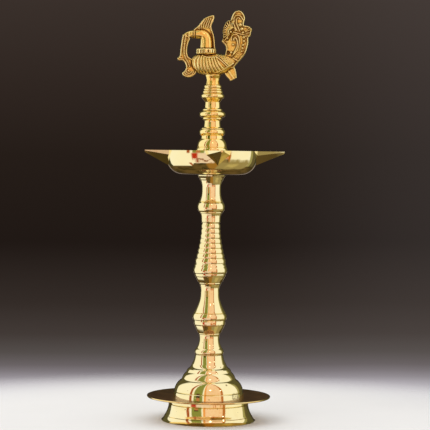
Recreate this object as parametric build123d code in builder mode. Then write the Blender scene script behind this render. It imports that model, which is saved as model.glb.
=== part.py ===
"""Brass standing oil lamp (samai) with a four-spout oil bowl and a peacock on top.

The pieces are turned or cast brass and stack on the Z axis. A rod and nut under the base clamp the foot,
the drip plate and the bell. Threaded studs join the stem sections, the column and the peacock, and the
column's stud also clamps the oil bowl between two fibre washers.

Units are millimetres. +Z is up, +X is the side the peacock's tail is on, -Y is the front, and the origin
is the centre of the face the foot stands on.
"""

import os
from math import sqrt

from build123d import *

os.makedirs("parts", exist_ok=True)

# ---------------------------------------------------------------- driving dimensions

# Seats: the heights at which one piece rests on the next.
PLATE_SEAT = 16.2
PLATE_THICKNESS = 1.5
BELL_SEAT = PLATE_SEAT + PLATE_THICKNESS
LOWER_STEM_SEAT = 51.7
MIDDLE_STEM_SEAT = 79.2
UPPER_STEM_SEAT = 116.1
STEM_TOP = 193.7
SEAL_THICKNESS = 0.8
BOWL_SEAT = STEM_TOP + SEAL_THICKNESS
BOWL_FLOOR = 2.0
COLUMN_SEAT = BOWL_SEAT + BOWL_FLOOR + SEAL_THICKNESS
PEACOCK_SEAT = 264.8

# Widths of the pieces that set the outline.
FOOT_RADIUS = 37.1
FOOT_TOP_RADIUS = 31.2
PLATE_RADIUS = 48.7
PLATE_RIM_RISE = 2.0
BELL_RADIUS = 28.2
STEM_NECK_RADIUS = 7.5
BOWL_RADIUS = 36.6
BOWL_DEPTH = 18.4
BOWL_WALL = 1.8

# Spouts of the oil bowl: angle from +X in degrees, and reach. They are cast and filed by hand, so no two
# are quite the same length. The first points 8 degrees to the right of the front.
SPOUTS = ((-82, 55.6), (8, 58.0), (98, 55.6), (188, 53.2))
SPOUT_HALF_WIDTH = 9.6
SPOUT_DEPTH = 10.6
SPOUT_TIP_HALF_WIDTH = 1.0
SPOUT_TIP_DEPTH = 1.6

# Reeds turned on the upper stem: equal bands whose radius grows as they go down.
REED_COUNT = 8
REED_HEIGHT = 3.95
REED_GROWTH = 0.167
REED_POWER = 1.7
REED_BULGE = 0.38

# Threads: a stud is a plain cylinder with V grooves at the pitch, in plain holes with running clearance.
STUD_RADIUS = 5.0
STUD_PITCH = 1.5
SMALL_STUD_RADIUS = 3.0
SMALL_STUD_PITCH = 1.0
ROD_RADIUS = 4.0
ROD_PITCH = 1.25
THREAD_CLEARANCE = 0.05
STUD_REACH = 10.5
SMALL_STUD_REACH = 7.0
HOLE_SPARE = 1.0
THROUGH_CLEARANCE = 0.3
CLAMP_FLAT_RADIUS = 12.0
CLAMP_WASHER_THICKNESS = 1.6
NUT_ACROSS_FLATS = 13.0
NUT_HEIGHT = 6.5
FOOT_WEB = 2.0
ROD_TOP = 37.2
ROD_BOTTOM = 4.5

GROOVE = 0.35


# ---------------------------------------------------------------- helpers


def section(height):
    """The half plane that a turned piece is drawn on: x is the radius and y the height above its seat."""
    return Plane(origin=(0, 0, height), x_dir=(1, 0, 0), z_dir=(0, -1, 0))


def trace(*steps):
    """Closed outline through (radius, height) points. A third number is how far the arc to its point bulges
    to the right of the way the outline runs, so an outline drawn upwards bulges out when it is positive."""
    here = steps[0]
    for step in [*steps[1:], steps[0][:2]]:
        if len(step) == 3:
            SagittaArc(here[:2], step[:2], -step[2])
        elif step[:2] != here[:2]:
            Line(here[:2], step[:2])
        here = step


def v_groove(radius, height, width=GROOVE):
    """Three outline points of a fine turned line."""
    return (radius, height - width), (radius - width, height), (radius, height + width)


def lathe(height, *steps, mode=Mode.ADD):
    """Turns the traced outline about the Z axis, starting from that seat height."""
    with BuildSketch(section(height)) as outline:
        with BuildLine():
            trace(*steps)
        make_face()
    revolve(outline.sketch, axis=Axis.Z, mode=mode)


def threaded_outline(radius, pitch, low, high):
    """Outline points of a stud from low to high: chamfered ends and a V groove every pitch."""
    depth = 0.6 * pitch
    points = [(0, low), (radius - depth, low), (radius, low + depth)]
    turns = int((high - low - 2 * depth) / pitch)
    for turn in range(turns):
        start = low + depth + (turn + 0.1) * pitch
        points += [(radius, start), (radius - depth, start + 0.45 * pitch), (radius, start + 0.9 * pitch)]
    return [*points, (radius, high - depth), (radius - depth, high), (0, high)]


def tapped_hole_down(height, radius, depth):
    """A blind hole from a top face."""
    with Locations((0, 0, height)):
        Hole(radius + THREAD_CLEARANCE, depth=depth)


def tapped_hole_up(height, radius, depth):
    """A blind hole from a bottom face."""
    with Locations(Location((0, 0, height), (180, 0, 0))):
        Hole(radius + THREAD_CLEARANCE, depth=depth)


def save(piece, name):
    """Labels a finished piece and writes it as one STEP file."""
    piece.part.label = name
    export_step(piece.part, f"parts/{name}.step")


# ---------------------------------------------------------------- base

with BuildPart() as base_foot:
    lathe(
        0,
        (ROD_RADIUS + THROUGH_CLEARANCE, PLATE_SEAT - FOOT_WEB),
        (28.6, PLATE_SEAT - FOOT_WEB),
        (32.0, 4.8, 0.8),
        (34.7, 0),
        (FOOT_RADIUS - 0.1, 0),
        (FOOT_RADIUS, 0.2),
        (34.6, 3.8, -0.3),
        (34.2, 4.2),
        (34.0, 4.7),
        (31.5, 12.9, -0.5),
        (30.9, 13.4),
        (FOOT_TOP_RADIUS, 13.8),
        (FOOT_TOP_RADIUS, PLATE_SEAT),
        (ROD_RADIUS + THROUGH_CLEARANCE, PLATE_SEAT),
    )

with BuildPart() as drip_plate:
    rim = PLATE_THICKNESS + PLATE_RIM_RISE
    lathe(
        PLATE_SEAT,
        (ROD_RADIUS + THROUGH_CLEARANCE, 0),
        (29.0, 0),
        (PLATE_RADIUS - 0.6, rim - 1.4, 0.3),
        (PLATE_RADIUS, rim - 0.8, 0.2),
        (PLATE_RADIUS - 0.5, rim, 0.25),
        (30.5, PLATE_THICKNESS, -0.3),
        (ROD_RADIUS + THROUGH_CLEARANCE, PLATE_THICKNESS),
    )

with BuildPart() as base_bell:
    bell_height = LOWER_STEM_SEAT - BELL_SEAT
    lathe(
        BELL_SEAT,
        (0, 0),
        (BELL_RADIUS, 0),
        (27.6, 4.6, 0.05),
        *v_groove(27.3, 5.2),
        (22.8, 13.9, 0.9),
        (21.1, 15.5, -0.2),
        (17.9, 20.4, 0.45),
        (16.8, 22.7, 0.1),
        (16.3, 23.2),
        (13.5, 26.8, -0.5),
        (11.1, bell_height, -0.45),
        (0, bell_height),
    )
    lathe(
        BELL_SEAT,
        (0, 0),
        (BELL_RADIUS - 2.6, 0),
        (19.8, 13.3, 0.9),
        (12.6, 20.6, 0.2),
        (9.6, 20.6),
        (9.6, 12.4),
        (0, 12.4),
        mode=Mode.SUBTRACT,
    )
    tapped_hole_down(LOWER_STEM_SEAT, STUD_RADIUS, STUD_REACH + HOLE_SPARE)
    tapped_hole_up(BELL_SEAT + 12.4, ROD_RADIUS, ROD_TOP - BELL_SEAT - 12.4 + 0.5)

with BuildPart() as tie_rod:
    lathe(0, *threaded_outline(ROD_RADIUS, ROD_PITCH, ROD_BOTTOM, ROD_TOP))

washer_seat = PLATE_SEAT - FOOT_WEB - CLAMP_WASHER_THICKNESS
with BuildPart() as clamp_washer:
    with BuildSketch(Plane.XY.offset(washer_seat)):
        Circle(CLAMP_FLAT_RADIUS)
        Circle(ROD_RADIUS + THROUGH_CLEARANCE, mode=Mode.SUBTRACT)
    extrude(amount=CLAMP_WASHER_THICKNESS)
    chamfer(clamp_washer.edges().filter_by(GeomType.CIRCLE).group_by(SortBy.RADIUS)[-1], 0.3)

nut_seat = washer_seat - NUT_HEIGHT
with BuildPart() as clamp_nut:
    with BuildSketch(Plane.XY.offset(nut_seat)):
        RegularPolygon(NUT_ACROSS_FLATS / 2, 6, major_radius=False)
        Circle(ROD_RADIUS + THREAD_CLEARANCE, mode=Mode.SUBTRACT)
    extrude(amount=NUT_HEIGHT)
    # Turned corners: only what lies inside a double cone about the axis is kept.
    corner = NUT_ACROSS_FLATS / sqrt(3)
    lathe(
        nut_seat,
        (0, 0),
        (NUT_ACROSS_FLATS / 2, 0),
        (corner, 0.7),
        (corner, NUT_HEIGHT - 0.7),
        (NUT_ACROSS_FLATS / 2, NUT_HEIGHT),
        (0, NUT_HEIGHT),
        mode=Mode.INTERSECT,
    )

# ---------------------------------------------------------------- stem

with BuildPart() as lower_stem:
    stem_height = MIDDLE_STEM_SEAT - LOWER_STEM_SEAT
    lathe(
        LOWER_STEM_SEAT,
        (0, 0),
        (10.6, 0),
        (10.9, 0.5, 0.1),
        (10.8, 4.6, 0.75),
        (9.6, 6.4, -0.15),
        (7.9, 13.4, -0.5),
        (8.3, 16.2, -0.1),
        (8.7, 16.6),
        (8.7, 17.2),
        (9.2, 17.5),
        (11.9, 23.4, 0.1),
        (12.4, 24.2),
        (12.6, stem_height, 0.1),
        (0, stem_height),
    )
    tapped_hole_up(LOWER_STEM_SEAT, STUD_RADIUS, STUD_REACH + HOLE_SPARE)
    tapped_hole_down(MIDDLE_STEM_SEAT, STUD_RADIUS, STUD_REACH + HOLE_SPARE)

with BuildPart() as middle_stem:
    stem_height = UPPER_STEM_SEAT - MIDDLE_STEM_SEAT
    lathe(
        MIDDLE_STEM_SEAT,
        (0, 0),
        (12.8, 0),
        (13.3, 0.6),
        (12.9, 5.3, 0.55),
        *v_groove(12.6, 5.8),
        (7.9, 16.8, -0.5),
        (STEM_NECK_RADIUS, 21.5, -0.15),
        (8.3, 28.3, -0.45),
        (8.9, 29.0),
        (8.9, 29.7),
        (9.6, 30.2),
        (11.6, 34.2, 0.1),
        (12.0, 34.8),
        (12.4, stem_height, 0.1),
        (0, stem_height),
    )
    tapped_hole_up(MIDDLE_STEM_SEAT, STUD_RADIUS, STUD_REACH + HOLE_SPARE)
    tapped_hole_down(UPPER_STEM_SEAT, STUD_RADIUS, STUD_REACH + HOLE_SPARE)

with BuildPart() as upper_stem:
    stem_height = STEM_TOP - UPPER_STEM_SEAT
    reeds_base = 7.9
    reeds = []
    for band in reversed(range(REED_COUNT)):
        radius = STEM_NECK_RADIUS + REED_GROWTH * band**REED_POWER
        below = reeds_base + (REED_COUNT - 1 - band) * REED_HEIGHT
        reeds += [(radius - 0.1, below + 0.2), (radius - 0.45, below + REED_HEIGHT, REED_BULGE)]
    reeds_top = reeds_base + REED_COUNT * REED_HEIGHT
    lathe(
        UPPER_STEM_SEAT,
        (0, 0),
        (12.6, 0),
        (13.1, 0.6),
        (12.7, 5.4, 0.55),
        (12.0, reeds_base - 0.2, 0.2),
        *reeds,
        (7.6, reeds_top + 1.2, -0.05),
        (7.7, reeds_top + 3.4),
        (8.4, 47.4, -0.2),
        (8.9, 47.6),
        (9.0, 48.4, 0.1),
        (9.5, 48.6),
        (10.3, 49.6),
        (10.2, 55.4, 0.65),
        (9.6, 56.2),
        *v_groove(9.4, 56.7),
        (7.7, 62.0, -0.25),
        (STEM_NECK_RADIUS, 67.2, -0.1),
        (9.4, 74.2, -0.55),
        (11.0, stem_height - 0.8, -0.15),
        (11.2, stem_height),
        (0, stem_height),
    )
    tapped_hole_up(UPPER_STEM_SEAT, STUD_RADIUS, STUD_REACH + HOLE_SPARE)
    tapped_hole_down(STEM_TOP, STUD_RADIUS, STUD_REACH + HOLE_SPARE)


# ---------------------------------------------------------------- oil bowl


def spout(angle, reach, start, side_inset, keel_inset, shoulder=0.0):
    """A pointed V at an angle about the axis, from the start radius to the tip.

    The insets move its sides in and its keel up, and the V ends where the moved sides would meet. The
    shoulder is the share of the depth over which the sides stand steep before they run in to the keel.
    """
    rim = BOWL_SEAT + BOWL_DEPTH
    side_slope = (SPOUT_HALF_WIDTH - SPOUT_TIP_HALF_WIDTH) / (reach - BOWL_RADIUS)
    keel_slope = (SPOUT_DEPTH - SPOUT_TIP_DEPTH) / (reach - BOWL_RADIUS)
    end = reach - max(0, side_inset - SPOUT_TIP_HALF_WIDTH + 0.2) / side_slope
    sections = []
    for x in (start, end):
        half = SPOUT_TIP_HALF_WIDTH + (reach - x) * side_slope - side_inset
        deep = max(SPOUT_TIP_DEPTH + (reach - x) * keel_slope - keel_inset, 0.2)
        outline = [(-half, 0), (0, -deep), (half, 0)]
        if shoulder:
            outline.insert(1, (-half * (1 - shoulder / 3), -deep * shoulder))
            outline.insert(3, (half * (1 - shoulder / 3), -deep * shoulder))
        with BuildSketch(Plane(origin=(x, 0, rim), x_dir=(0, 1, 0), z_dir=(1, 0, 0))) as vee:
            with BuildLine():
                Polyline(*outline, close=True)
            make_face()
        sections.append(vee.sketch)
    return loft(sections, ruled=True, mode=Mode.PRIVATE).rotate(Axis.Z, angle)


with BuildPart() as oil_bowl:
    lathe(
        BOWL_SEAT,
        (0, 0),
        (20.5, 0),
        (BOWL_RADIUS - 1.2, 9.5, 3.5),
        (BOWL_RADIUS, BOWL_DEPTH, 0.3),
        (0, BOWL_DEPTH),
    )
    for angle, reach in SPOUTS:
        add(spout(angle, reach, BOWL_RADIUS - 6, 0, 0, shoulder=0.3))
    lathe(
        BOWL_SEAT,
        (0, BOWL_FLOOR),
        (21.3, BOWL_FLOOR),
        (BOWL_RADIUS - 1.2 - BOWL_WALL, 9.8, 2.7),
        (BOWL_RADIUS - BOWL_WALL, BOWL_DEPTH + 1, 0.3),
        (0, BOWL_DEPTH + 1),
        mode=Mode.SUBTRACT,
    )
    for angle, reach in SPOUTS:
        add(spout(angle, reach, BOWL_RADIUS - 10, 1.7, 2.0), mode=Mode.SUBTRACT)
    with Locations((0, 0, BOWL_SEAT + BOWL_DEPTH)):
        Hole(STUD_RADIUS + THROUGH_CLEARANCE)

with BuildPart() as lower_bowl_seal:
    with BuildSketch(Plane.XY.offset(STEM_TOP)):
        Circle(10.2)
        Circle(STUD_RADIUS + THROUGH_CLEARANCE, mode=Mode.SUBTRACT)
    extrude(amount=SEAL_THICKNESS)

with BuildPart() as upper_bowl_seal:
    with BuildSketch(Plane.XY.offset(BOWL_SEAT + BOWL_FLOOR)):
        Circle(12.2)
        Circle(STUD_RADIUS + THROUGH_CLEARANCE, mode=Mode.SUBTRACT)
    extrude(amount=SEAL_THICKNESS)

# ---------------------------------------------------------------- column over the bowl

with BuildPart() as finial_column:
    column_height = PEACOCK_SEAT - COLUMN_SEAT
    lathe(
        COLUMN_SEAT,
        (0, 0),
        (13.0, 0),
        (13.0, 1.8, 0.4),
        (11.6, 6.0, -0.5),
        (11.6, 13.6),
        (12.0, 14.2),
        (12.2, 17.2, 0.35),
        (11.8, 17.8),
        *v_groove(11.7, 18.3, 0.25),
        (11.5, 19.0),
        (8.9, 25.0, 0.75),
        (8.7, 27.3),
        (9.2, 27.8),
        (9.4, 32.2, 0.95),
        (8.5, 32.6),
        (8.8, 33.3, 0.25),
        (6.8, 34.2),
        (6.3, 38.2, -0.1),
        (6.4, 39.2),
        (7.5, 40.2, 0.1),
        (7.6, 41.4, 0.2),
        (9.4, 42.2),
        (8.9, 46.4, 1.25),
        (7.5, 46.9),
        (7.6, 48.3, 0.35),
        (6.1, 50.6, -0.5),
        (5.9, 53.8, -0.05),
        (7.7, 56.3),
        (8.4, 56.8),
        (8.3, 60.2, 0.9),
        (7.6, 60.7),
        (7.8, 62.4, 0.4),
        (7.1, 62.8),
        (7.1, 64.3, 0.35),
        (6.6, 64.7),
        (5.8, column_height, 0.75),
        (0, column_height),
    )
    tapped_hole_up(COLUMN_SEAT, STUD_RADIUS, STUD_REACH + HOLE_SPARE)
    tapped_hole_down(PEACOCK_SEAT, SMALL_STUD_RADIUS, SMALL_STUD_REACH + HOLE_SPARE)

# ---------------------------------------------------------------- peacock

PEACOCK_PLATE = 4.6
CREST_PLATE = 2.8
GARLAND_PLATE = 3.6
NECK_X = -5.4
NECK_RADIUS = 4.9
NECK_BEND = 5.4
HEAD_HEIGHT = 40.0

# Stations along the body from breast to rump: x, middle height, half height, half width.
BODY_STATIONS = (
    (-17.0, 18.0, 1.4, 1.2),
    (-15.2, 17.2, 5.1, 4.2),
    (-11.4, 16.5, 7.7, 6.6),
    (-4.0, 15.8, 9.0, 7.8),
    (4.0, 15.6, 8.7, 7.5),
    (10.5, 16.4, 6.8, 5.6),
    (15.5, 17.6, 3.6, 3.0),
    (18.0, 18.6, 1.2, 1.0),
)


def plate(thickness):
    """Thickens the sketch in the active part equally to both sides of the bird's middle plane."""
    extrude(amount=thickness / 2, both=True)


with BuildPart() as peacock:
    # The body: an egg lofted along X, fuller at the breast and pointed at the rump.
    for x, middle, half_height, half_width in BODY_STATIONS:
        with BuildSketch(Plane(origin=(x, 0, PEACOCK_SEAT + middle), x_dir=(0, 1, 0), z_dir=(1, 0, 0))):
            Ellipse(half_width, half_height)
    loft()
    # The pedestal: a smooth waisted neck that opens into the underside of the body.
    lathe(
        PEACOCK_SEAT,
        (0, 0),
        (5.8, 0),
        (5.1, 3.0, -0.25),
        (6.2, 7.0, -0.3),
        (7.1, 12.5, 0.25),
        (0, 16.0),
    )
    # The neck rises from the body and turns forward into the head.
    with BuildLine(section(PEACOCK_SEAT)) as neck_path:
        Line((NECK_X, 18.0), (NECK_X, HEAD_HEIGHT - NECK_BEND))
        JernArc((NECK_X, HEAD_HEIGHT - NECK_BEND), (0, 1), NECK_BEND, 90)
    with BuildSketch(Plane.XY.offset(PEACOCK_SEAT + 18.0)):
        with Locations((NECK_X, 0)):
            Circle(NECK_RADIUS)
    sweep(path=neck_path.line, transition=Transition.ROUND)
    # The head narrows to a ringed band and then to the beak that holds the garland.
    for near, far in (
        ((NECK_X - NECK_BEND, HEAD_HEIGHT, NECK_RADIUS), (-14.6, HEAD_HEIGHT - 0.3, 3.5)),
        ((-14.6, HEAD_HEIGHT - 0.4, 3.9), (-17.6, HEAD_HEIGHT - 0.8, 3.6)),
        ((-17.6, HEAD_HEIGHT - 0.9, 3.1), (-24.4, HEAD_HEIGHT - 1.6, 1.2)),
    ):
        for x, height, radius in (near, far):
            with BuildSketch(Plane(origin=(x, 0, PEACOCK_SEAT + height), x_dir=(0, 1, 0), z_dir=(-1, 0, 0))):
                Circle(radius)
        loft()
    # The collar at the foot of the neck.
    with BuildSketch(Plane.XY.offset(PEACOCK_SEAT + 23.4)):
        with Locations((NECK_X, 0)):
            Ellipse(8.3, 6.8)
    extrude(amount=4.8, taper=7)
    # The crest on the head, and the mane that runs down the back of the neck.
    with BuildSketch(section(PEACOCK_SEAT)):
        with BuildLine():
            Spline((-16.0, 42.6), (-12.2, 46.2), (-7.5, 51.9), (-1.1, 54.6))
            ThreePointArc((-1.1, 54.6), (0.5, 53.4), (0.0, 50.3))
            Spline((0.0, 50.3), (-2.1, 45.4), (0.5, 37.5), (1.3, 26.0))
            Polyline((1.3, 26.0), (-5.0, 26.0), (-8.0, 38.0), (-16.0, 42.6))
        make_face()
    plate(CREST_PLATE)
    # The garland that hangs from the beak, with its spur and the leaf that curls at its foot.
    with BuildSketch(section(PEACOCK_SEAT)):
        with BuildLine():
            Spline((-22.6, 39.4), (-24.6, 37.2), (-25.9, 28.4), (-26.1, 22.6))
            Polyline((-26.1, 22.6), (-28.4, 20.0), (-26.3, 18.3), (-24.1, 18.5))
            Spline(
                (-24.1, 18.5),
                (-21.3, 15.2),
                (-21.8, 11.7),
                (-24.2, 8.9),
                (-22.4, 6.1),
                (-17.6, 5.7),
                (-13.2, 8.6),
            )
            Polyline((-13.2, 8.6), (-12.0, 16.0), (-16.2, 20.6))
            Spline((-16.2, 20.6), (-19.4, 21.8), (-20.5, 26.3), (-18.6, 36.6))
            Line((-18.6, 36.6), (-22.6, 39.4))
        make_face()
    plate(GARLAND_PLATE)
    # The tail plume: it rises behind the body and ends in three lobes.
    with BuildSketch(section(PEACOCK_SEAT)):
        with BuildLine():
            Spline((7.0, 19.0), (9.4, 26.4), (9.2, 31.4), (6.4, 34.2))
            Spline((6.4, 34.2), (6.9, 41.6), (8.9, 48.4), (13.2, 51.2))
            Spline((13.2, 51.2), (15.3, 56.9), (20.4, 58.8), (24.2, 53.9), (23.9, 47.2))
            Spline((23.9, 47.2), (27.1, 46.9), (29.8, 43.6), (27.4, 37.3))
            Spline((27.4, 37.3), (26.8, 29.8), (22.4, 20.5), (15.2, 12.8))
            Line((15.2, 12.8), (7.0, 19.0))
        make_face()
    plate(PEACOCK_PLATE)
    # The short square-ended feather under the tail.
    with BuildSketch(section(PEACOCK_SEAT)):
        with BuildLine():
            Polyline((16.6, 13.2), (18.8, 5.7), (13.8, 3.2), (8.2, 9.4), (10.0, 16.0), close=True)
        make_face()
    plate(GARLAND_PLATE)
    tapped_hole_up(PEACOCK_SEAT, SMALL_STUD_RADIUS, SMALL_STUD_REACH + HOLE_SPARE)


# ---------------------------------------------------------------- studs


def stud(seat, radius, pitch, reach):
    """A double-ended stud centred on a seat."""
    with BuildPart() as made:
        lathe(0, *threaded_outline(radius, pitch, seat - reach, seat + reach))
    return made


save(base_foot, "base_foot")
save(drip_plate, "drip_plate")
save(base_bell, "base_bell")
save(tie_rod, "tie_rod")
save(clamp_washer, "clamp_washer")
save(clamp_nut, "clamp_nut")
save(stud(LOWER_STEM_SEAT, STUD_RADIUS, STUD_PITCH, STUD_REACH), "lower_stud")
save(lower_stem, "lower_stem")
save(stud(MIDDLE_STEM_SEAT, STUD_RADIUS, STUD_PITCH, STUD_REACH), "middle_stud")
save(middle_stem, "middle_stem")
save(stud(UPPER_STEM_SEAT, STUD_RADIUS, STUD_PITCH, STUD_REACH), "upper_stud")
save(upper_stem, "upper_stem")
save(lower_bowl_seal, "lower_bowl_seal")
save(oil_bowl, "oil_bowl")
save(upper_bowl_seal, "upper_bowl_seal")
column_stud_centre = (STEM_TOP + COLUMN_SEAT) / 2
column_stud_reach = STUD_REACH + (COLUMN_SEAT - STEM_TOP) / 2
save(stud(column_stud_centre, STUD_RADIUS, STUD_PITCH, column_stud_reach), "column_stud")
save(finial_column, "finial_column")
save(stud(PEACOCK_SEAT, SMALL_STUD_RADIUS, SMALL_STUD_PITCH, SMALL_STUD_REACH), "peacock_stud")
save(peacock, "peacock")
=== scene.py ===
"""Looks of the brass standing oil lamp: polished turned brass, a cast peacock and a plain studio.

The turned pieces are the CAD nodes themselves with node materials. The peacock is a finer mesh grown here
from relief maps, and it stands for the CAD node of the same name. Lengths are metres unless a name says mm.
"""

import math

import bpy
import numpy as np
from mathutils import Matrix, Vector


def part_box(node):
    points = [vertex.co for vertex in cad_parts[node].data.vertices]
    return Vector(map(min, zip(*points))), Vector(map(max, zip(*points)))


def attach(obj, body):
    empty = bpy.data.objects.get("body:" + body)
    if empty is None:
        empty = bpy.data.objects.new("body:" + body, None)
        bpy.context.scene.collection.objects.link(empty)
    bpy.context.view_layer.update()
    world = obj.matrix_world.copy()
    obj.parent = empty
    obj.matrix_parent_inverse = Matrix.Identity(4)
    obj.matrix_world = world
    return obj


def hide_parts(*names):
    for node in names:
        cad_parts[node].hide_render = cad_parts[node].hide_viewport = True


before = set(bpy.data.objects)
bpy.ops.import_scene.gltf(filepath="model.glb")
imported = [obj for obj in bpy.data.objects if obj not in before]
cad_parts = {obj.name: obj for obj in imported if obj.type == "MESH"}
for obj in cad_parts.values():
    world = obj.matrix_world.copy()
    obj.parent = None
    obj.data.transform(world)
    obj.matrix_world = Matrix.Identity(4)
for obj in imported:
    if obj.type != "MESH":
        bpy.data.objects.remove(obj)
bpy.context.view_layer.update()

MM = 0.001
scene = bpy.context.scene
scene.view_settings.view_transform = "Standard"
peacock_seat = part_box("peacock")[0].z

# ------------------------------------------------------------------ node graphs


class Graph:
    """Adds nodes to a node tree. Methods return output sockets. Inputs take numbers, colours or sockets."""

    def __init__(self, tree):
        self.tree = tree
        tree.nodes.clear()

    def feed(self, socket, value):
        if isinstance(value, bpy.types.NodeSocket):
            self.tree.links.new(value, socket)
        elif isinstance(value, tuple) and len(value) == 3 and len(socket.default_value) == 4:
            socket.default_value = (*value, 1.0)
        else:
            socket.default_value = value

    def node(self, kind, inputs=None, output=0, **settings):
        made = self.tree.nodes.new(kind)
        for name, value in settings.items():
            setattr(made, name, value)
        for key, value in (inputs or {}).items():
            self.feed(made.inputs[key], value)
        return made.outputs[output] if made.outputs else made

    def math(self, operation, *values):
        return self.node("ShaderNodeMath", dict(enumerate(values)), operation=operation)

    def step(self, value, low, high):
        """0 at low and 1 at high with a smooth rise between, whichever is the larger."""
        inputs = {0: value, 1: low, 2: high, 3: 0.0, 4: 1.0}
        return self.node("ShaderNodeMapRange", inputs, interpolation_type="SMOOTHSTEP")

    def mix(self, share, a, b):
        return self.node("ShaderNodeMix", {0: share, 6: a, 7: b}, output=2, data_type="RGBA")

    def vector(self, operation, a, b=(0.0, 0.0, 0.0), output=0):
        return self.node("ShaderNodeVectorMath", {0: a, 1: b}, output=output, operation=operation)

    def split(self, vector):
        made = self.tree.nodes.new("ShaderNodeSeparateXYZ")
        self.feed(made.inputs[0], vector)
        return made.outputs

    def join(self, x, y, z):
        return self.node("ShaderNodeCombineXYZ", {0: x, 1: y, 2: z})

    def noise(self, place, scale, detail=2.0, roughness=0.5):
        inputs = {"Vector": place, "Scale": scale, "Detail": detail, "Roughness": roughness}
        return self.node("ShaderNodeTexNoise", inputs)

    def cells(self, place, scale):
        """Distance from the nearest of many scattered points."""
        return self.node("ShaderNodeTexVoronoi", {"Vector": place, "Scale": scale}, output="Distance")

    def openness(self, reach):
        """1 on open metal and less in corners closer than the reach."""
        return self.node("ShaderNodeAmbientOcclusion", {"Distance": reach}, output="AO", samples=6)

    def bump(self, strength, reach, height, over=None, invert=False):
        inputs = {"Strength": strength, "Distance": reach, "Height": height}
        if over is not None:
            inputs["Normal"] = over
        return self.node("ShaderNodeBump", inputs, invert=invert)

    def near(self, value, centre, far, close):
        """1 within the close distance of a centre and 0 beyond the far one."""
        return self.step(self.math("ABSOLUTE", self.math("SUBTRACT", value, centre)), far, close)

    def both(self, *masks):
        out = masks[0]
        for mask in masks[1:]:
            out = self.math("MULTIPLY", out, mask)
        return out

    def bands(self, value, low, high, stops):
        """Colour ramp over value from low to high through (value, colour) stops."""
        share = self.node("ShaderNodeMapRange", {0: value, 1: low, 2: high, 3: 0.0, 4: 1.0})
        ramp = self.tree.nodes.new("ShaderNodeValToRGB")
        self.tree.links.new(share, ramp.inputs[0])
        elements = ramp.color_ramp.elements
        while len(elements) < len(stops):
            elements.new(0.5)
        for element, (at, _) in zip(elements, stops):
            element.position = (at - low) / (high - low)
        for element, (_, colour) in zip(elements, stops):
            element.color = (*colour, 1.0)
        return ramp.outputs[0]


# ------------------------------------------------------------------ studio

TO_EYE = (0.0, -0.9994, 0.035)
CREAM = (1.0, 0.99, 0.94)
PEACH = (0.95, 0.68, 0.55)
ORANGE = (0.86, 0.36, 0.1)
RUST = (0.5, 0.17, 0.035)
BROWN = (0.4, 0.09, 0.015)
GREEN = (0.25, 0.28, 0.07)
OLIVE = (0.34, 0.32, 0.14)
DEEP_OLIVE = (0.12, 0.1, 0.045)
DARK = (0.05, 0.046, 0.02)

# The studio in the brass, from left to right. Angles are half way between the lens and what is reflected,
# which is where on a turned piece the reflection shows. Each stripe starts at its angle.
STUDIO = (
    (-90.0, DARK),
    (-66.5, CREAM),
    (-32.6, BROWN),
    (-28.2, CREAM),
    (-24.6, GREEN),
    (-9.6, CREAM),
    (-7.4, ORANGE),
    (-4.2, PEACH),
    (21.2, RUST),
    (25.0, CREAM),
    (57.0, OLIVE),
    (62.5, DEEP_OLIVE),
    (72.0, DARK),
)
STRIPE_SOFTNESS = 0.45

# What shows in metal that leans down: turn, lift, softness, colour, and whether it needs to lean clearly.
UNDER_THE_LENS = (
    ((-7.0, 20.0), (-40.0, -13.0), 3.0, (0.34, 0.17, 0.035), False),
    ((-36.0, -22.0), (-16.0, 8.0), 1.2, CREAM, True),
    ((-22.0, 3.0), (-17.0, 8.0), 2.0, (0.86, 0.7, 0.66), True),
    ((-20.0, 1.0), (-12.5, -10.5), 0.8, (0.3, 0.13, 0.07), False),
    ((10.0, 58.0), (-40.0, -12.0), 3.0, (0.33, 0.27, 0.13), False),
    ((24.0, 40.0), (-30.0, -19.0), 3.0, (0.5, 0.42, 0.2), False),
    ((-26.0, -18.0), (-11.0, 6.0), 1.5, (0.5, 0.035, 0.01), True),
)
# two small lamps: turn, lift and radius
SMALL_LAMPS = ((3.0, 20.0, 1.3), (20.5, 18.5, 0.9))
LAMP_LIGHT = (5.0, 5.0, 4.6)
BLOB_TURN = -17.3  # a person in the green stripe, with a dark head


def angle_of(g, sideways, away):
    return g.math("DEGREES", g.math("ARCTAN2", sideways, g.math("MULTIPLY", away, -1.0)))


def patch(g, turn, lift, turns, lifts, soft=1.2):
    """1 between two turns and two lifts, with soft edges."""
    return g.both(
        g.step(turn, turns[0] - soft, turns[0] + soft),
        g.step(turn, turns[1] + soft, turns[1] - soft),
        g.step(lift, lifts[0] - soft, lifts[0] + soft),
        g.step(lift, lifts[1] + soft, lifts[1] - soft),
    )


def stripes(g, turn):
    """The studio's upright stripes over the turn."""
    ends = [edge for edge, _ in STUDIO[1:]] + [90.0]
    stops = []
    for i, (edge, colour) in enumerate(STUDIO):
        stops += [(edge + STRIPE_SOFTNESS if i else edge, colour), (ends[i] - STRIPE_SOFTNESS, colour)]
    return g.bands(turn, -90.0, 90.0, stops)


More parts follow.
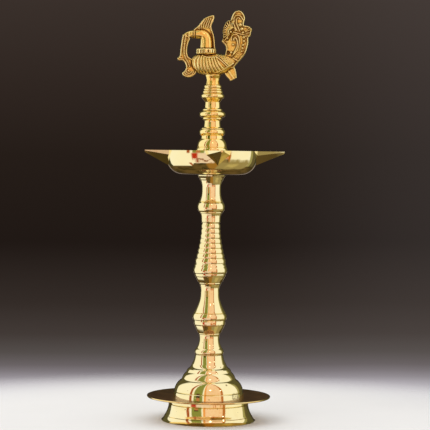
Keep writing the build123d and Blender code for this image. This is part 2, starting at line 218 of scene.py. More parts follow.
def room_things(g, look, half_way, turn, lift, ragged_lift):
    """A person in the green stripe, and folds and blots in the warm stripe."""
    body = g.both(g.near(turn, BLOB_TURN, 3.2, 2.2), g.near(lift, 1.5, 5.0, 3.4))
    head = g.both(g.near(turn, BLOB_TURN, 3.4, 2.6), g.near(lift, 6.0, 1.4, 0.8))
    look = g.mix(body, look, (0.5, 0.2, 0.09))
    look = g.mix(head, look, (0.03, 0.03, 0.02))
    across = g.join(g.math("MULTIPLY", turn, 0.05), 0.0, 0.0)
    folds = g.node("ShaderNodeTexWave", {"Vector": across, "Scale": 1.9, "Distortion": 1.5})
    folded = g.both(patch(g, turn, ragged_lift, (-3.0, 20.0), (-9.0, 60.0)), g.math("MULTIPLY", folds, 0.25))
    look = g.mix(folded, look, (1.0, 0.78, 0.55))
    blots = g.step(g.noise(half_way, 22.0, 2.0), 0.42, 0.52)
    blotted = g.both(patch(g, turn, ragged_lift, (-12.0, 21.0), (-10.0, -3.5)), blots)
    look = g.mix(blotted, look, (0.6, 0.15, 0.025))
    faint = g.step(g.noise(half_way, 30.0, 2.0), 0.56, 0.64)
    blushed = g.both(patch(g, turn, ragged_lift, (-3.0, 20.0), (1.0, 40.0)), faint, 0.4)
    return g.mix(blushed, look, (0.8, 0.3, 0.1))


def above_and_below(g, look, half_way, angle, lift):
    """Darkness above the softboxes, and a mottled dark table below them."""
    rim = g.math("POWER", g.math("MINIMUM", g.math("DIVIDE", g.math("ABSOLUTE", angle), 69.0), 1.0), 2.4)
    top = g.math("MULTIPLY", g.math("POWER", g.math("SUBTRACT", 1.0, rim), 0.42), 50.0)
    look = g.mix(g.step(g.math("SUBTRACT", lift, top), -2.0, 3.0), look, (0.1, 0.092, 0.04))
    side = g.step(g.math("ABSOLUTE", angle), 20.0, 27.0)
    table_lift = g.math("MULTIPLY_ADD", side, -17.0, -10.0)
    mottle = g.step(g.noise(half_way, 5.0, 3.0), 0.35, 0.65)
    table = g.mix(mottle, (0.05, 0.036, 0.012), (0.13, 0.085, 0.033))
    return g.mix(g.step(g.math("SUBTRACT", lift, table_lift), 2.0, -2.5), look, table)


def studio_light(g, direction):
    """What polished metal sees: tall softboxes left and right of the lens, a warm room between them."""
    half_way = g.vector("NORMALIZE", g.vector("ADD", direction, TO_EYE))
    x, y, z = g.split(half_way)
    angle = angle_of(g, x, y)
    lift = g.math("DEGREES", g.math("ARCSINE", z))
    # upright edges in the room stay upright, so they crowd together on metal that leans up or down
    across, away, up = g.split(direction)
    upright = g.math("MULTIPLY", angle_of(g, across, away), 0.5)
    turn = g.math("ADD", g.math("MULTIPLY", upright, 0.75), g.math("MULTIPLY", angle, 0.25))
    turn = g.math("ADD", turn, g.math("MULTIPLY_ADD", g.noise(half_way, 6.0, 3.0), 1.6, -0.8))
    ragged_lift = g.math("ADD", lift, g.math("MULTIPLY_ADD", g.noise(half_way, 7.0, 3.0), 14.0, -7.0))

    look = stripes(g, turn)
    look = room_things(g, look, half_way, turn, lift, ragged_lift)
    look = above_and_below(g, look, half_way, angle, lift)
    leans_down = g.step(lift, -1.5, -3.5)
    for turns, lifts, soft, colour, only_leaning in UNDER_THE_LENS:
        share = patch(g, turn, ragged_lift, turns, lifts, soft)
        look = g.mix(g.both(share, leans_down) if only_leaning else share, look, colour)
    for lamp_turn, lamp_lift, radius in SMALL_LAMPS:
        aside = g.math("SUBTRACT", angle, lamp_turn)
        over = g.math("SUBTRACT", lift, lamp_lift)
        gap = g.vector("LENGTH", g.join(aside, over, 0.0), output="Value")
        look = g.mix(g.step(gap, radius * 1.4, radius * 0.6), look, LAMP_LIGHT)
    # the backdrop behind the lamp, pale in a strip just over the table
    strip = g.both(g.step(up, -0.09, -0.12), g.step(up, -0.24, -0.2))
    behind = g.mix(strip, (0.04, 0.032, 0.027), (0.36, 0.29, 0.25))
    return g.mix(g.step(away, 0.88, 0.97), look, behind)


# the backdrop's colour over the height above the lens's level, in degrees
BACKDROP = (
    (-8.2, (0.86, 0.85, 0.86)),
    (-7.6, (0.76, 0.74, 0.77)),
    (-7.3, (0.52, 0.49, 0.53)),
    (-7.0, (0.27, 0.245, 0.265)),
    (-6.7, (0.15, 0.13, 0.135)),
    (-6.3, (0.09, 0.077, 0.072)),
    (-5.7, (0.055, 0.043, 0.038)),
    (-4.7, (0.034, 0.025, 0.021)),
    (-2.8, (0.0145, 0.0095, 0.0075)),
    (0.0, (0.019, 0.0125, 0.0095)),
    (2.2, (0.029, 0.0195, 0.0155)),
    (5.0, (0.043, 0.0305, 0.025)),
    (40.0, (0.07, 0.055, 0.05)),
)


def backdrop(g, direction):
    """What the camera sees past the lamp: a dark paper that turns white towards the table."""
    x, _, up = g.split(direction)
    degrees = g.math("DEGREES", g.math("ARCSINE", up))
    # on the right the pale part reaches a little higher, and all of it is a little lighter
    degrees = g.math("MULTIPLY_ADD", g.step(x, 0.0, 0.11), -0.2, degrees)
    look = g.bands(degrees, -9.0, 41.0, BACKDROP)
    right = g.math("MULTIPLY", g.step(x, 0.0, 0.14), 0.16)
    return g.mix(right, look, (0.14, 0.12, 0.115))


def make_world():
    """One world in three parts: studio for reflections, backdrop for the camera, soft light for the rest."""
    world = bpy.data.worlds.new("studio")
    scene.world = world
    world.use_nodes = True
    world.cycles.sampling_method = "NONE"
    g = Graph(world.node_tree)
    direction = g.node("ShaderNodeTexCoord", output="Generated")
    path = g.tree.nodes.new("ShaderNodeLightPath").outputs
    up = g.split(direction)[2]
    ambient = g.mix(g.step(up, -0.1, 0.9), (0.55, 0.55, 0.56), (1.05, 1.04, 1.02))
    colour = g.mix(path["Is Glossy Ray"], ambient, studio_light(g, direction))
    colour = g.mix(path["Is Camera Ray"], colour, backdrop(g, direction))
    shader = g.node("ShaderNodeBackground", {"Color": colour})
    g.node("ShaderNodeOutputWorld", {"Surface": shader})


def disc_mesh(name, radius, rings, sides):
    """A flat disc of many rings, so that it shades evenly."""
    points, faces = [(0.0, 0.0, 0.0)], []
    for ring in range(1, rings + 1):
        reach = radius * ring / rings
        for side in range(sides):
            turn = 2 * math.pi * side / sides
            points.append((reach * math.cos(turn), reach * math.sin(turn), 0.0))
    for side in range(sides):
        after = (side + 1) % sides
        faces.append((0, 1 + side, 1 + after))
        for ring in range(rings - 1):
            here = 1 + ring * sides
            faces.append((here + side, here + sides + side, here + sides + after, here + after))
    return new_mesh(name, points, faces)


def new_mesh(name, points, faces):
    mesh = bpy.data.meshes.new(name)
    mesh.from_pydata(points, [], faces)
    mesh.update()
    made = bpy.data.objects.new(name, mesh)
    scene.collection.objects.link(made)
    return made


def new_material(name):
    made = bpy.data.materials.new(name)
    made.use_nodes = True
    return made, Graph(made.node_tree)


# the floor, in metres: it stays pale up to the first reach and is gone at the second
FLOOR_RADIUS = 0.34
FLOOR_PALE_REACH = 0.16
FLOOR_GONE_REACH = 0.33
FLOOR_DROP = 0.0004


def make_floor():
    """A pale round floor that fades into the backdrop. Polished metal doesn't see it."""
    floor = disc_mesh("floor", FLOOR_RADIUS, 12, 96)
    floor.location.z = -FLOOR_DROP
    material, g = new_material("pale_floor")
    place = g.node("ShaderNodeTexCoord", output="Object")
    reach = g.vector("LENGTH", place, output="Value")
    grain = g.noise(place, 900.0, 3.0)
    tone = g.mix(g.noise(place, 9.0, 3.0), (0.8, 0.79, 0.78), (0.86, 0.85, 0.84))
    bump = g.bump(0.08, 0.0004, grain)
    pale = g.node("ShaderNodeBsdfDiffuse", {"Color": tone, "Normal": bump})
    clear = g.node("ShaderNodeBsdfTransparent", {"Color": (1.0, 1.0, 1.0)})
    gone = g.step(reach, FLOOR_PALE_REACH, FLOOR_GONE_REACH)
    seen = g.node("ShaderNodeMixShader", {0: gone, 1: pale, 2: clear})
    g.node("ShaderNodeOutputMaterial", {"Surface": seen})
    floor.data.materials.append(material)
    floor.visible_glossy = False


# the lamp over the floor, high on the left and in front: metres, watts and degrees
KEY_PLACE = (-0.75, -0.85, 1.2)
KEY_WIDTH = 0.9
KEY_DEPTH = 0.7
KEY_POWER = 5.0
KEY_TILT = 42
KEY_TURN = -41


def make_key_light():
    """One large soft lamp for the floor's shadow. The metal takes its light from the studio around it."""
    data = bpy.data.lights.new("key", "AREA")
    data.shape = "RECTANGLE"
    data.size = KEY_WIDTH
    data.size_y = KEY_DEPTH
    data.energy = KEY_POWER
    light = bpy.data.objects.new("key", data)
    scene.collection.objects.link(light)
    light.location = KEY_PLACE
    light.rotation_euler = (math.radians(KEY_TILT), 0, math.radians(KEY_TURN))
    light.visible_glossy = False
    light.visible_camera = False


# ------------------------------------------------------------------ materials


def finish_metal(g, colour, roughness, bump=None, anisotropic=0.0):
    inputs = {"Base Color": colour, "Metallic": 1.0, "Roughness": roughness, "Anisotropic": anisotropic}
    if bump is not None:
        inputs["Normal"] = bump
    if anisotropic:
        inputs["Tangent"] = g.node("ShaderNodeTangent", direction_type="RADIAL", axis="Z")
    shader = g.node("ShaderNodeBsdfPrincipled", inputs)
    g.node("ShaderNodeOutputMaterial", {"Surface": shader})


def turned_coordinates(g, place):
    """Radius and height, in millimetres, so that a pattern on them runs round the lamp."""
    x, y, z = g.split(place)
    radius = g.math("SQRT", g.math("ADD", g.math("POWER", x, 2.0), g.math("POWER", y, 2.0)))
    return g.math("DIVIDE", radius, MM), g.math("DIVIDE", z, MM)


def spot_mask(g, place, spots):
    """1 inside any of the (x, y, z, radius) spots, in millimetres, with ragged edges."""
    jitter = g.node("ShaderNodeTexNoise", {"Vector": place, "Scale": 900.0}, output="Color")
    jitter = g.vector("MULTIPLY", g.vector("SUBTRACT", jitter, (0.5, 0.5, 0.5)), (0.0016, 0.0016, 0.0016))
    ragged = g.vector("ADD", place, jitter)
    mask = None
    for x, y, z, radius in spots:
        centre = (x * MM, y * MM, z * MM)
        gap = g.vector("DISTANCE", ragged, centre, output="Value")
        one = g.step(gap, radius * MM, radius * MM * 0.6)
        mask = one if mask is None else g.math("MAXIMUM", mask, one)
    return mask


def polished_brass(name, pits=(), smudges=(), tarnish=0.0, gold=0.0):
    """Mirror-polished turned brass: turning lines, hand marks, painted shade and roughening dirt in the
    grooves, and small casting pits.
    """
    material, g = new_material(name)
    place = g.node("ShaderNodeTexCoord", output="Object")
    radius, height = turned_coordinates(g, place)
    tone = g.noise(place, 35.0, 4.0)
    colour = g.mix(g.step(tone, 0.3, 0.75), (0.985, 0.875, 0.53), (0.97, 0.825, 0.43))
    colour = g.mix(gold, colour, (1.0, 0.79, 0.3))
    # tarnish gathers in broad soft clouds
    cloud = g.math("MULTIPLY", g.step(g.noise(place, 60.0, 5.0, 0.6), 0.52, 0.78), 0.22 + tarnish)
    colour = g.mix(cloud, colour, (0.72, 0.47, 0.17))
    # fine turning lines
    fine = g.join(g.math("MULTIPLY", radius, 2.4), 0.0, g.math("MULTIPLY", height, 2.4))
    lines = g.noise(fine, 1.0, 3.0, 0.7)
    waves = g.noise(g.join(radius, 0.0, height), 0.22, 1.0)
    marks = g.noise(place, 420.0, 4.0, 0.75)
    # painted shade where pieces and grooves meet: the colour goes dark brown there, and dirt makes it rougher
    closed = g.openness(0.0011)
    corner_shade_and_dirt = g.both(g.step(closed, 0.62, 0.3), g.step(height, 1.2, 2.0))
    colour = g.mix(g.math("MULTIPLY", corner_shade_and_dirt, 0.8), colour, (0.2, 0.095, 0.02))
    specks = g.cells(place, 190.0)
    speck = g.both(g.step(specks, 0.1, 0.055), g.step(g.noise(place, 75.0), 0.53, 0.6))
    if pits:
        speck = g.math("MAXIMUM", speck, spot_mask(g, place, pits))
    colour = g.mix(g.math("MULTIPLY", speck, 0.8), colour, (0.22, 0.13, 0.04))
    roughness = g.math("MULTIPLY_ADD", g.step(marks, 0.45, 0.8), 0.06, 0.045 + 0.05 * tarnish)
    roughness = g.math("MULTIPLY_ADD", corner_shade_and_dirt, 0.3, roughness)
    roughness = g.math("MULTIPLY_ADD", cloud, 0.25, roughness)
    if smudges:
        smear = g.both(spot_mask(g, place, smudges), g.step(g.noise(place, 800.0, 3.0, 0.7), 0.36, 0.56))
        roughness = g.math("MULTIPLY_ADD", smear, 0.35, roughness)
        colour = g.mix(g.math("MULTIPLY", smear, 0.8), colour, (0.42, 0.36, 0.17))
    bump = g.bump(0.25, 0.00002, lines)
    bump = g.bump(0.35, 0.00012, waves, bump)
    bump = g.bump(0.6, 0.0002, speck, bump, invert=True)
    finish_metal(g, colour, roughness, bump, anisotropic=0.45)
    return material


def tarnished_brass(name, rim_radius):
    """The drip plate: its top has gone brown with oil, and its rim and underside are still bright."""
    material, g = new_material(name)
    place = g.node("ShaderNodeTexCoord", output="Object")
    radius, height = turned_coordinates(g, place)
    normal_up = g.split(g.node("ShaderNodeNewGeometry", output="Normal"))[2]
    top = g.both(g.step(normal_up, 0.3, 0.8), g.step(radius, rim_radius - 0.6, rim_radius - 1.6))
    bright = g.mix(g.step(g.noise(place, 50.0, 4.0), 0.3, 0.7), (0.98, 0.8, 0.42), (0.93, 0.66, 0.27))
    stain = g.noise(place, 85.0, 6.0, 0.65)
    brown = g.mix(g.step(stain, 0.35, 0.7), (0.26, 0.13, 0.075), (0.5, 0.3, 0.17))
    rings = g.noise(g.join(g.math("MULTIPLY", radius, 1.6), 0.0, 0.0), 1.0, 3.0, 0.7)
    brown = g.mix(g.math("MULTIPLY", g.step(rings, 0.4, 0.65), 0.35), brown, (0.62, 0.4, 0.22))
    fleck = g.step(g.cells(place, 330.0), 0.12, 0.05)
    fleck = g.both(fleck, g.step(g.noise(place, 160.0), 0.52, 0.6))
    brown = g.mix(g.math("MULTIPLY", fleck, 0.7), brown, (0.95, 0.7, 0.45))
    colour = g.mix(top, bright, brown)
    # painted shade: the colour goes dark brown in corners that the plate closes in
    corner_shade_and_dirt = g.step(g.openness(0.002), 0.7, 0.3)
    colour = g.mix(g.math("MULTIPLY", corner_shade_and_dirt, 0.7), colour, (0.1, 0.05, 0.015))
    roughness = g.math("MULTIPLY_ADD", top, g.math("MULTIPLY_ADD", stain, 0.22, 0.16), 0.09)
    bump = g.bump(0.5, 0.00006, rings)
    bump = g.bump(0.35, 0.00015, stain, bump)
    finish_metal(g, colour, roughness, bump, anisotropic=0.3)
    return material


def cast_brass(name):
    """The peacock: cast brass, brown patina in the recesses with painted shade in its corners, and rubbed
    bright on the high places.
    """
    material, g = new_material(name)
    place = g.node("ShaderNodeTexCoord", output="Object")
    relief = g.node("ShaderNodeAttribute", output="Fac", attribute_name="relief")
    polish = g.node("ShaderNodeAttribute", output="Fac", attribute_name="polish")
    closed = g.openness(0.0016)
    grain = g.noise(place, 1300.0, 4.0, 0.65)
    patina = g.noise(place, 160.0, 5.0, 0.6)
    colour = g.mix(g.step(patina, 0.3, 0.72), (0.97, 0.74, 0.2), (0.88, 0.56, 0.11))
    blush = g.noise(place, 430.0, 3.0, 0.6)
    colour = g.mix(g.both(g.step(blush, 0.52, 0.66), 0.5), colour, (0.95, 0.46, 0.14))
    colour = g.mix(g.both(g.step(blush, 0.48, 0.34), 0.45), colour, (0.78, 0.72, 0.24))
    colour = g.mix(g.both(g.step(relief, 0.12, 0.75), 0.75), colour, (1.0, 0.9, 0.46))
    colour = g.mix(g.both(polish, 0.8), colour, (1.0, 0.71, 0.21))
    # dark brown patina in the low places of the relief, and painted shade where the metal closes in
    patina_and_shade = g.math("MAXIMUM", g.step(relief, -0.1, -0.8), g.step(closed, 0.6, 0.2))
    patina_and_shade = g.both(patina_and_shade, g.math("MULTIPLY_ADD", patina, 0.5, 0.7))
    colour = g.mix(g.math("MINIMUM", patina_and_shade, 0.92), colour, (0.13, 0.052, 0.01))
    roughness = g.math("MULTIPLY_ADD", g.step(relief, 0.6, -0.6), 0.2, 0.16)
    roughness = g.math("MULTIPLY_ADD", grain, 0.1, roughness)
    roughness = g.math("MULTIPLY", roughness, g.math("MULTIPLY_ADD", polish, -0.72, 1.0))
    bump = g.bump(0.5, 0.00008, grain)
    bump = g.bump(0.4, 0.0004, patina, bump)
    finish_metal(g, colour, roughness, bump)
    return material


def bright_steel(name):
    """Zinc-plated steel: grey with a faint yellow bloom and marks across the thread."""
    material, g = new_material(name)
    place = g.node("ShaderNodeTexCoord", output="Object")
    radius, height = turned_coordinates(g, place)
    bloom = g.noise(place, 240.0, 4.0)
    colour = g.mix(g.step(bloom, 0.35, 0.7), (0.56, 0.57, 0.6), (0.66, 0.63, 0.52))
    # painted shade: the colour goes dark grey where the steel closes in
    closed = g.openness(0.001)
    colour = g.mix(g.step(closed, 0.6, 0.25), colour, (0.12, 0.11, 0.1))
    lines = g.noise(g.join(radius, 0.0, g.math("MULTIPLY", height, 6.0)), 2.0, 2.0)
    bump = g.bump(0.3, 0.00002, lines)
    finish_metal(g, colour, g.math("MULTIPLY_ADD", bloom, 0.2, 0.2), bump, anisotropic=0.3)
    return material


def washer_rubber(name):
    """Pressed fibre rubber of the bowl's two sealing rings."""
    material, g = new_material(name)
    place = g.node("ShaderNodeTexCoord", output="Object")
    fibre = g.noise(place, 1700.0, 5.0, 0.7)
    stain = g.noise(place, 130.0, 3.0)
    colour = g.mix(g.step(fibre, 0.35, 0.65), (0.035, 0.026, 0.022), (0.075, 0.055, 0.045))
    colour = g.mix(g.both(g.step(stain, 0.5, 0.7), 0.5), colour, (0.12, 0.07, 0.03))
    bump = g.bump(0.5, 0.00008, fibre)
    roughness = g.math("MULTIPLY_ADD", fibre, 0.25, 0.55)
    inputs = {"Base Color": colour, "Roughness": roughness, "Normal": bump}
    shader = g.node("ShaderNodeBsdfPrincipled", inputs)
    g.node("ShaderNodeOutputMaterial", {"Surface": shader})
    return material


# ------------------------------------------------------------------ the peacock's relief maps
# The bird is the same on both sides, so one map of half thickness over the (x, z) plane describes it.
# Outlines and lines below are (x, z) in millimetres, z from the bird's seat on the column.

STEP = 0.24
XS = np.arange(-30.0, 31.6, STEP)
ZS = np.arange(-0.72, 60.6, STEP)
GX, GZ = np.meshgrid(XS, ZS, indexing="ij")

CREST = [(-16.0, 42.6), (-12.2, 46.2), (-7.5, 51.9), (-1.1, 54.6), (0.5, 53.4), (0.0, 50.3), (-1.7, 45.4),
         (0.4, 38.5), (1.3, 32.0), (1.3, 26.0), (-3.0, 24.0), (-6.0, 30.0), (-8.0, 38.0), (-13.0, 41.0)]
CREST_STROKES = [[(-9.9, 44.2), (-9.4, 47.2), (-7.6, 50.3)], [(-8.2, 44.6), (-7.6, 47.6), (-5.6, 51.2)],
                 [(-6.4, 44.6), (-5.7, 47.8), (-3.9, 51.9)], [(-4.7, 44.4), (-4.0, 47.8), (-2.3, 52.0)],
                 [(-3.1, 44.8), (-2.4, 47.6), (-1.2, 51.2)], [(-11.6, 43.6), (-11.2, 45.6), (-10.0, 47.8)]]
GARLAND = [
    (-22.8, 39.6), (-24.6, 37.0), (-25.5, 31.0), (-26.1, 25.5), (-26.5, 22.3), (-28.5, 20.2),
    (-27.2, 18.6), (-24.6, 18.6), (-22.3, 16.8), (-21.3, 13.6), (-22.4, 10.8), (-24.3, 9.1),
    (-23.6, 6.9), (-21.0, 5.6), (-17.6, 5.7), (-14.6, 7.4), (-13.0, 9.6), (-12.6, 14.0), (-14.6, 18.6),
    (-17.3, 20.5), (-19.6, 22.0), (-20.5, 26.3), (-19.7, 32.0), (-18.4, 36.4),
]
GARLAND_BEADS = [
    (-21.6, 38.0), (-22.4, 33.5), (-22.9, 29.0), (-22.9, 24.5), (-21.6, 20.5), (-19.6, 17.0),
    (-18.2, 13.5),
]
TAIL = [
    (7.0, 19.0), (9.0, 23.6), (9.9, 27.6), (9.3, 30.6), (7.6, 32.6), (6.4, 34.2), (7.5, 36.4),
    (7.3, 39.5), (7.3, 43.0), (8.9, 47.9), (11.2, 50.4), (13.2, 50.9), (14.0, 53.6), (15.6, 56.8),
    (18.0, 58.4), (21.0, 58.4), (23.6, 55.8), (24.7, 52.4), (24.0, 49.0), (24.0, 47.1), (26.4, 46.7),
    (28.8, 45.8), (30.4, 43.6), (29.6, 41.2), (29.3, 38.8), (27.6, 37.0), (27.6, 33.5), (26.8, 29.4),
    (25.4, 25.0), (22.2, 20.4), (18.6, 16.4), (15.2, 12.8), (10.5, 14.5),
]
# each tail line: its points, half width and height
TAIL_LINES = [
    ([(16.1, 49.4), (15.9, 52.5), (18.3, 54.7), (21.2, 53.8), (23.0, 51.2)], 0.5, 0.75),
    ([(18.1, 49.0), (17.7, 51.4), (19.4, 52.7), (20.9, 51.4)], 0.45, 0.7),
    ([(15.2, 49.8), (16.1, 46.7), (18.3, 42.7)], 0.5, 0.75),
    ([(17.5, 49.4), (18.8, 46.3), (20.4, 42.3)], 0.5, 0.75),
    ([(14.6, 41.4), (17.0, 41.0), (20.6, 40.1), (24.6, 39.2)], 0.5, 0.85),
    ([(15.9, 44.9), (17.3, 42.4)], 0.45, 0.8),
    ([(14.4, 34.8), (14.0, 37.4), (15.7, 39.4), (18.3, 39.5), (20.1, 37.0), (20.0, 31.6), (18.6, 27.2),
      (16.3, 24.1), (14.6, 22.5)], 0.5, 0.7),
    (
        [(16.1, 35.0), (16.0, 36.5), (17.5, 36.8), (18.7, 34.3), (18.6, 30.3), (17.1, 26.8), (15.4, 23.6)],
        0.6,
        0.95,
    ),
    ([(25.0, 42.7), (27.7, 44.5), (29.6, 45.0)], 0.4, 0.6),
    ([(25.0, 41.8), (28.1, 43.2), (30.2, 43.4)], 0.4, 0.6),
    ([(25.4, 40.5), (28.1, 41.0), (29.8, 41.0)], 0.4, 0.6),
    ([(24.6, 39.2), (27.0, 39.2), (29.2, 39.8)], 0.4, 0.6),
    ([(24.6, 38.2), (26.8, 37.8), (28.6, 38.0)], 0.4, 0.6),
    ([(15.4, 21.0), (18.9, 19.2), (20.6, 18.0)], 0.6, 0.7),
]
TAIL_BEADS = [
    (20.8, 47.2, 1.5), (22.2, 44.0, 1.35), (23.0, 41.2, 1.05), (23.7, 37.4, 1.15), (23.9, 34.5, 1.1),
    (23.3, 31.4, 1.0), (23.0, 28.8, 0.9), (22.3, 26.4, 0.8), (15.5, 31.6, 1.0), (13.9, 25.4, 1.15),
    (10.6, 33.6, 0.8),
]
FAN = [
    (5.0, 34.7), (11.6, 34.7), (13.4, 37.6), (14.4, 40.6), (16.4, 43.2), (15.6, 46.6), (13.8, 51.6),
    (5.0, 51.6), (5.0, 34.7),
]
FAN_HUB, FAN_ANGLES = (13.7, 41.6), (84, 99, 114, 129, 144, 159, 174, 189, 204, 219, 234)
FAN_BEADS = [(13.2, 41.6, 1.25), (12.7, 47.0, 1.1), (14.9, 45.0, 0.95), (11.0, 36.6, 0.8)]
DOTTED = [
    (19.9, 30.3), (22.0, 30.0), (22.8, 26.0), (21.6, 21.4), (20.0, 18.6), (16.4, 21.6), (18.8, 26.0),
    (19.9, 30.3),
]
TAB = [(16.8, 14.2), (18.8, 6.0), (18.3, 5.3), (14.1, 3.1), (13.4, 3.6), (8.6, 9.6), (10.0, 15.5)]
NECK = [(-5.4, 20.0), (-5.4, 33.5), (-6.2, 37.2), (-8.4, 39.2), (-11.2, 39.6), (-14.3, 39.5)]
BEAK = [(-16.2, 39.7), (-20.3, 39.6), (-23.9, 38.7)]
# body stations: x, middle height, half height, half width
BODY = ((-17.0, 18.0, 1.2, 1.0), (-16.4, 17.7, 3.4, 2.8), (-15.2, 17.2, 5.3, 4.4), (-11.4, 16.5, 7.7, 6.6),
        (-4.0, 15.8, 9.0, 7.8), (4.0, 15.6, 8.7, 7.5), (10.5, 16.4, 6.8, 5.6), (15.5, 17.6, 3.6, 3.0),
        (18.0, 18.6, 1.2, 1.0))
EDGE_LINE = [
    (-15.6, 11.6), (-11.4, 9.0), (-6.5, 8.1), (-1.6, 8.3), (3.4, 9.6), (7.2, 11.2), (12.0, 14.2),
    (16.1, 17.0),
]
NECKLINE = [(-9.4, 24.4), (-7.6, 22.6), (-5.2, 21.4), (-1.6, 21.3), (1.9, 21.9), (3.4, 24.1)]
WING = [(2.8, 21.6), (5.6, 19.4), (8.4, 16.8), (10.9, 14.4)]
# pedestal: height and radius
PEDESTAL = (
    (0, 5.8), (1.5, 5.25), (3.0, 5.0), (5.0, 5.3), (6.5, 5.9), (7.5, 6.2), (8.2, 5.6), (9.0, 4.3),
    (9.6, 0.0),
)
STUD_RADIUS, STUD_DEPTH = 3.05, 8.0


def curve(points, closed=False, per=7):
    """Points of a smooth curve through the given points."""
    p = np.array(points, float)
    if len(p) == 2:
        return p
    q = np.vstack([p[-1:], p, p[:2]]) if closed else np.vstack([2 * p[0] - p[1], p, 2 * p[-1] - p[-2]])
    u = np.linspace(0, 1, per, endpoint=False)[:, None]
    parts = [
        b + u * (0.5 * (c - a) + u * (a - 2.5 * b + 2 * c - 0.5 * d + u * 0.5 * (3 * b - a - 3 * c + d)))
        for a, b, c, d in zip(q[:-3], q[1:-2], q[2:-1], q[3:])
    ]
    return np.vstack([*parts, p[:1] if closed else p[-1:]])


def along(line):
    """Distance of each grid point from a line, how far along it the nearest point is, and its length."""
    best, run_at, run = np.full(GX.shape, 1e3), np.zeros(GX.shape), 0.0
    for a, b in zip(line[:-1], line[1:]):
        d = b - a
        length = np.hypot(*d)
        if length < 1e-9:
            continue
        t = np.clip(((GX - a[0]) * d[0] + (GZ - a[1]) * d[1]) / length**2, 0, 1)
        gap = np.hypot(GX - a[0] - t * d[0], GZ - a[1] - t * d[1])
        near = gap < best
        best, run_at = np.where(near, gap, best), np.where(near, run + t * length, run_at)
        run += length
    return best, run_at, run


def depth(outline):
    """How deep every grid point lies inside a closed outline, negative outside."""
    gap = along(outline)[0]
    inside = np.zeros(GX.shape, bool)
    for a, b in zip(outline[:-1], outline[1:]):
        if a[1] == b[1]:
            continue
        crosses = (a[1] > GZ) != (b[1] > GZ)
        inside ^= crosses & (GX < a[0] + (GZ - a[1]) * (b[0] - a[0]) / (b[1] - a[1]))
    return np.where(inside, gap, -gap)


def ease(low, high, value):
    t = np.clip((value - low) / (high - low), 0, 1)
    return t * t * (3 - 2 * t)


def slab(inside, half, edge=0.9):
    """Half thickness of a plate with rounded edges."""
    k = np.clip(inside / edge, 0, 1)
    return np.where(inside > 0, half * np.sqrt(1 - (1 - k) ** 2), inside * 1.5)


def tube(line, radii, flat=1.0):
    """Half thickness of a round bar whose radius changes along a line."""
    gap, run, total = along(line)
    r = np.interp(run / total, np.linspace(0, 1, len(radii)), radii)
    return np.where(gap < r, flat * np.sqrt(np.maximum(r * r - gap * gap, 0)), (r - gap) * 1.5)


def ridge(line, half_width, height):
    gap = along(line)[0]
    return height * np.sqrt(np.clip(1 - (gap / half_width) ** 2, 0, 1))


def bead(x, z, radius, height=None):
    gap = np.hypot(GX - x, GZ - z)
    return (height or radius) * np.sqrt(np.clip(1 - (gap / radius) ** 2, 0, 1))


def beads_on(line, pitch, radius, height):
    gap, run, _ = along(line)
    offset = (run % pitch) - pitch / 2
    return height * np.sqrt(np.clip(1 - (gap**2 + offset**2) / radius**2, 0, 1))


def join(*parts, blend=0.25):
    """The thickest of the parts, with a small fillet where they meet."""
    out = parts[0]
    for part in parts[1:]:
        out = 0.5 * (out + part + np.sqrt((out - part) ** 2 + blend**2)) - 0.1 * blend
    return out


def blur(values, reach):
    """Mean over a square of about the reach either side, in millimetres, run twice."""
    r = max(1, round(reach / STEP))
    for _ in range(2):
        for _ in range(2):
            run = np.cumsum(np.pad(values, ((r + 1, r), (0, 0)), mode="edge"), 0)
            values = ((run[2 * r + 1 :] - run[: -2 * r - 1]) / (2 * r + 1)).T
    return values


def body_map():
    table = np.array(BODY)
    x = np.clip(GX, -17.0, 18.0)
    mid, high, wide = (np.interp(x, table[:, 0], table[:, i]) for i in (1, 2, 3))
    up = (GZ - mid) / high
    half = np.where(np.abs(up) < 1, wide * np.sqrt(np.clip(1 - up**2, 0, 1)), (1 - np.abs(up)) * high)
    body = half - 2 * np.maximum(np.abs(GX - 0.5) - 17.5, 0)
    # ribs run like meridians from the collar to the edge line
    edge_line = curve(EDGE_LINE)
    low = np.interp(GX, edge_line[:, 0], edge_line[:, 1])
    top = 24.2 - 0.35 * np.maximum(GX + 2, 0)
    v = np.clip((GZ - low) / (top - low), 0, 1)
    left = -16.4 + 1.2 * (2 * v - 0.9) ** 2 + 3.2 * v**3 + 2.2 * (1 - v) ** 3
    right = 9.5 - 7.0 * v
    q = (GX - left) / (right - left)
    warp = q + 0.03 * np.sin(3.1 * q) * (v - 0.5)
    rib = np.abs(np.sin(np.pi * 9 * warp)) ** 0.6 * (0.88 + 0.12 * np.sin(9.0 * GZ + 5.0 * GX))
    in_ribs = ease(-0.03, 0.02, q) * ease(1.02, 0.98, q) * ease(0.3, 0.9, GZ - low) * ease(24.2, 23.2, GZ)
    relief = in_ribs * (0.95 * rib - 0.5)
    relief += ridge(edge_line - [0, 0.1], 0.55, 0.6) * ease(-16.5, -14.5, GX)
    # the plain breast above the neckline
    neckline = curve(NECKLINE)
    gap = along(neckline)[0]
    above = ease(0.2, -0.4, np.where(GZ > np.interp(GX, neckline[:, 0], neckline[:, 1]), -gap, gap))
    relief = relief * (1 - above) + 0.1 * above + ridge(neckline, 0.75, 0.6)
    # the wing's double ridge, feathers behind it and a hatch above it
    wing = curve(WING)
    outer = wing + [1.1, 0.75]
    relief += ridge(wing, 0.6, 0.85) + ridge(outer, 0.45, 0.65)
    side = (GX - outer[0, 0]) * 0.68 + (GZ - outer[0, 1]) * 0.74
    feather = np.abs(np.sin((GZ - 0.45 * GX + 0.06 * GX**2) * np.pi / 1.35)) ** 0.6
    relief += ease(0.5, 1.1, side) * ease(0.2, 0.9, GZ - low) * (0.65 * feather - 0.35)
    for i in range(6):
        a, b = np.array([2.6 + 1.15 * i, 24.3 - 0.3 * i]), np.array([4.1 + 1.15 * i, 21.9 - 0.65 * i])
        relief += ridge(np.array([a, b]), 0.4, 0.6)
    return body + np.where(body > -0.6, relief, 0)


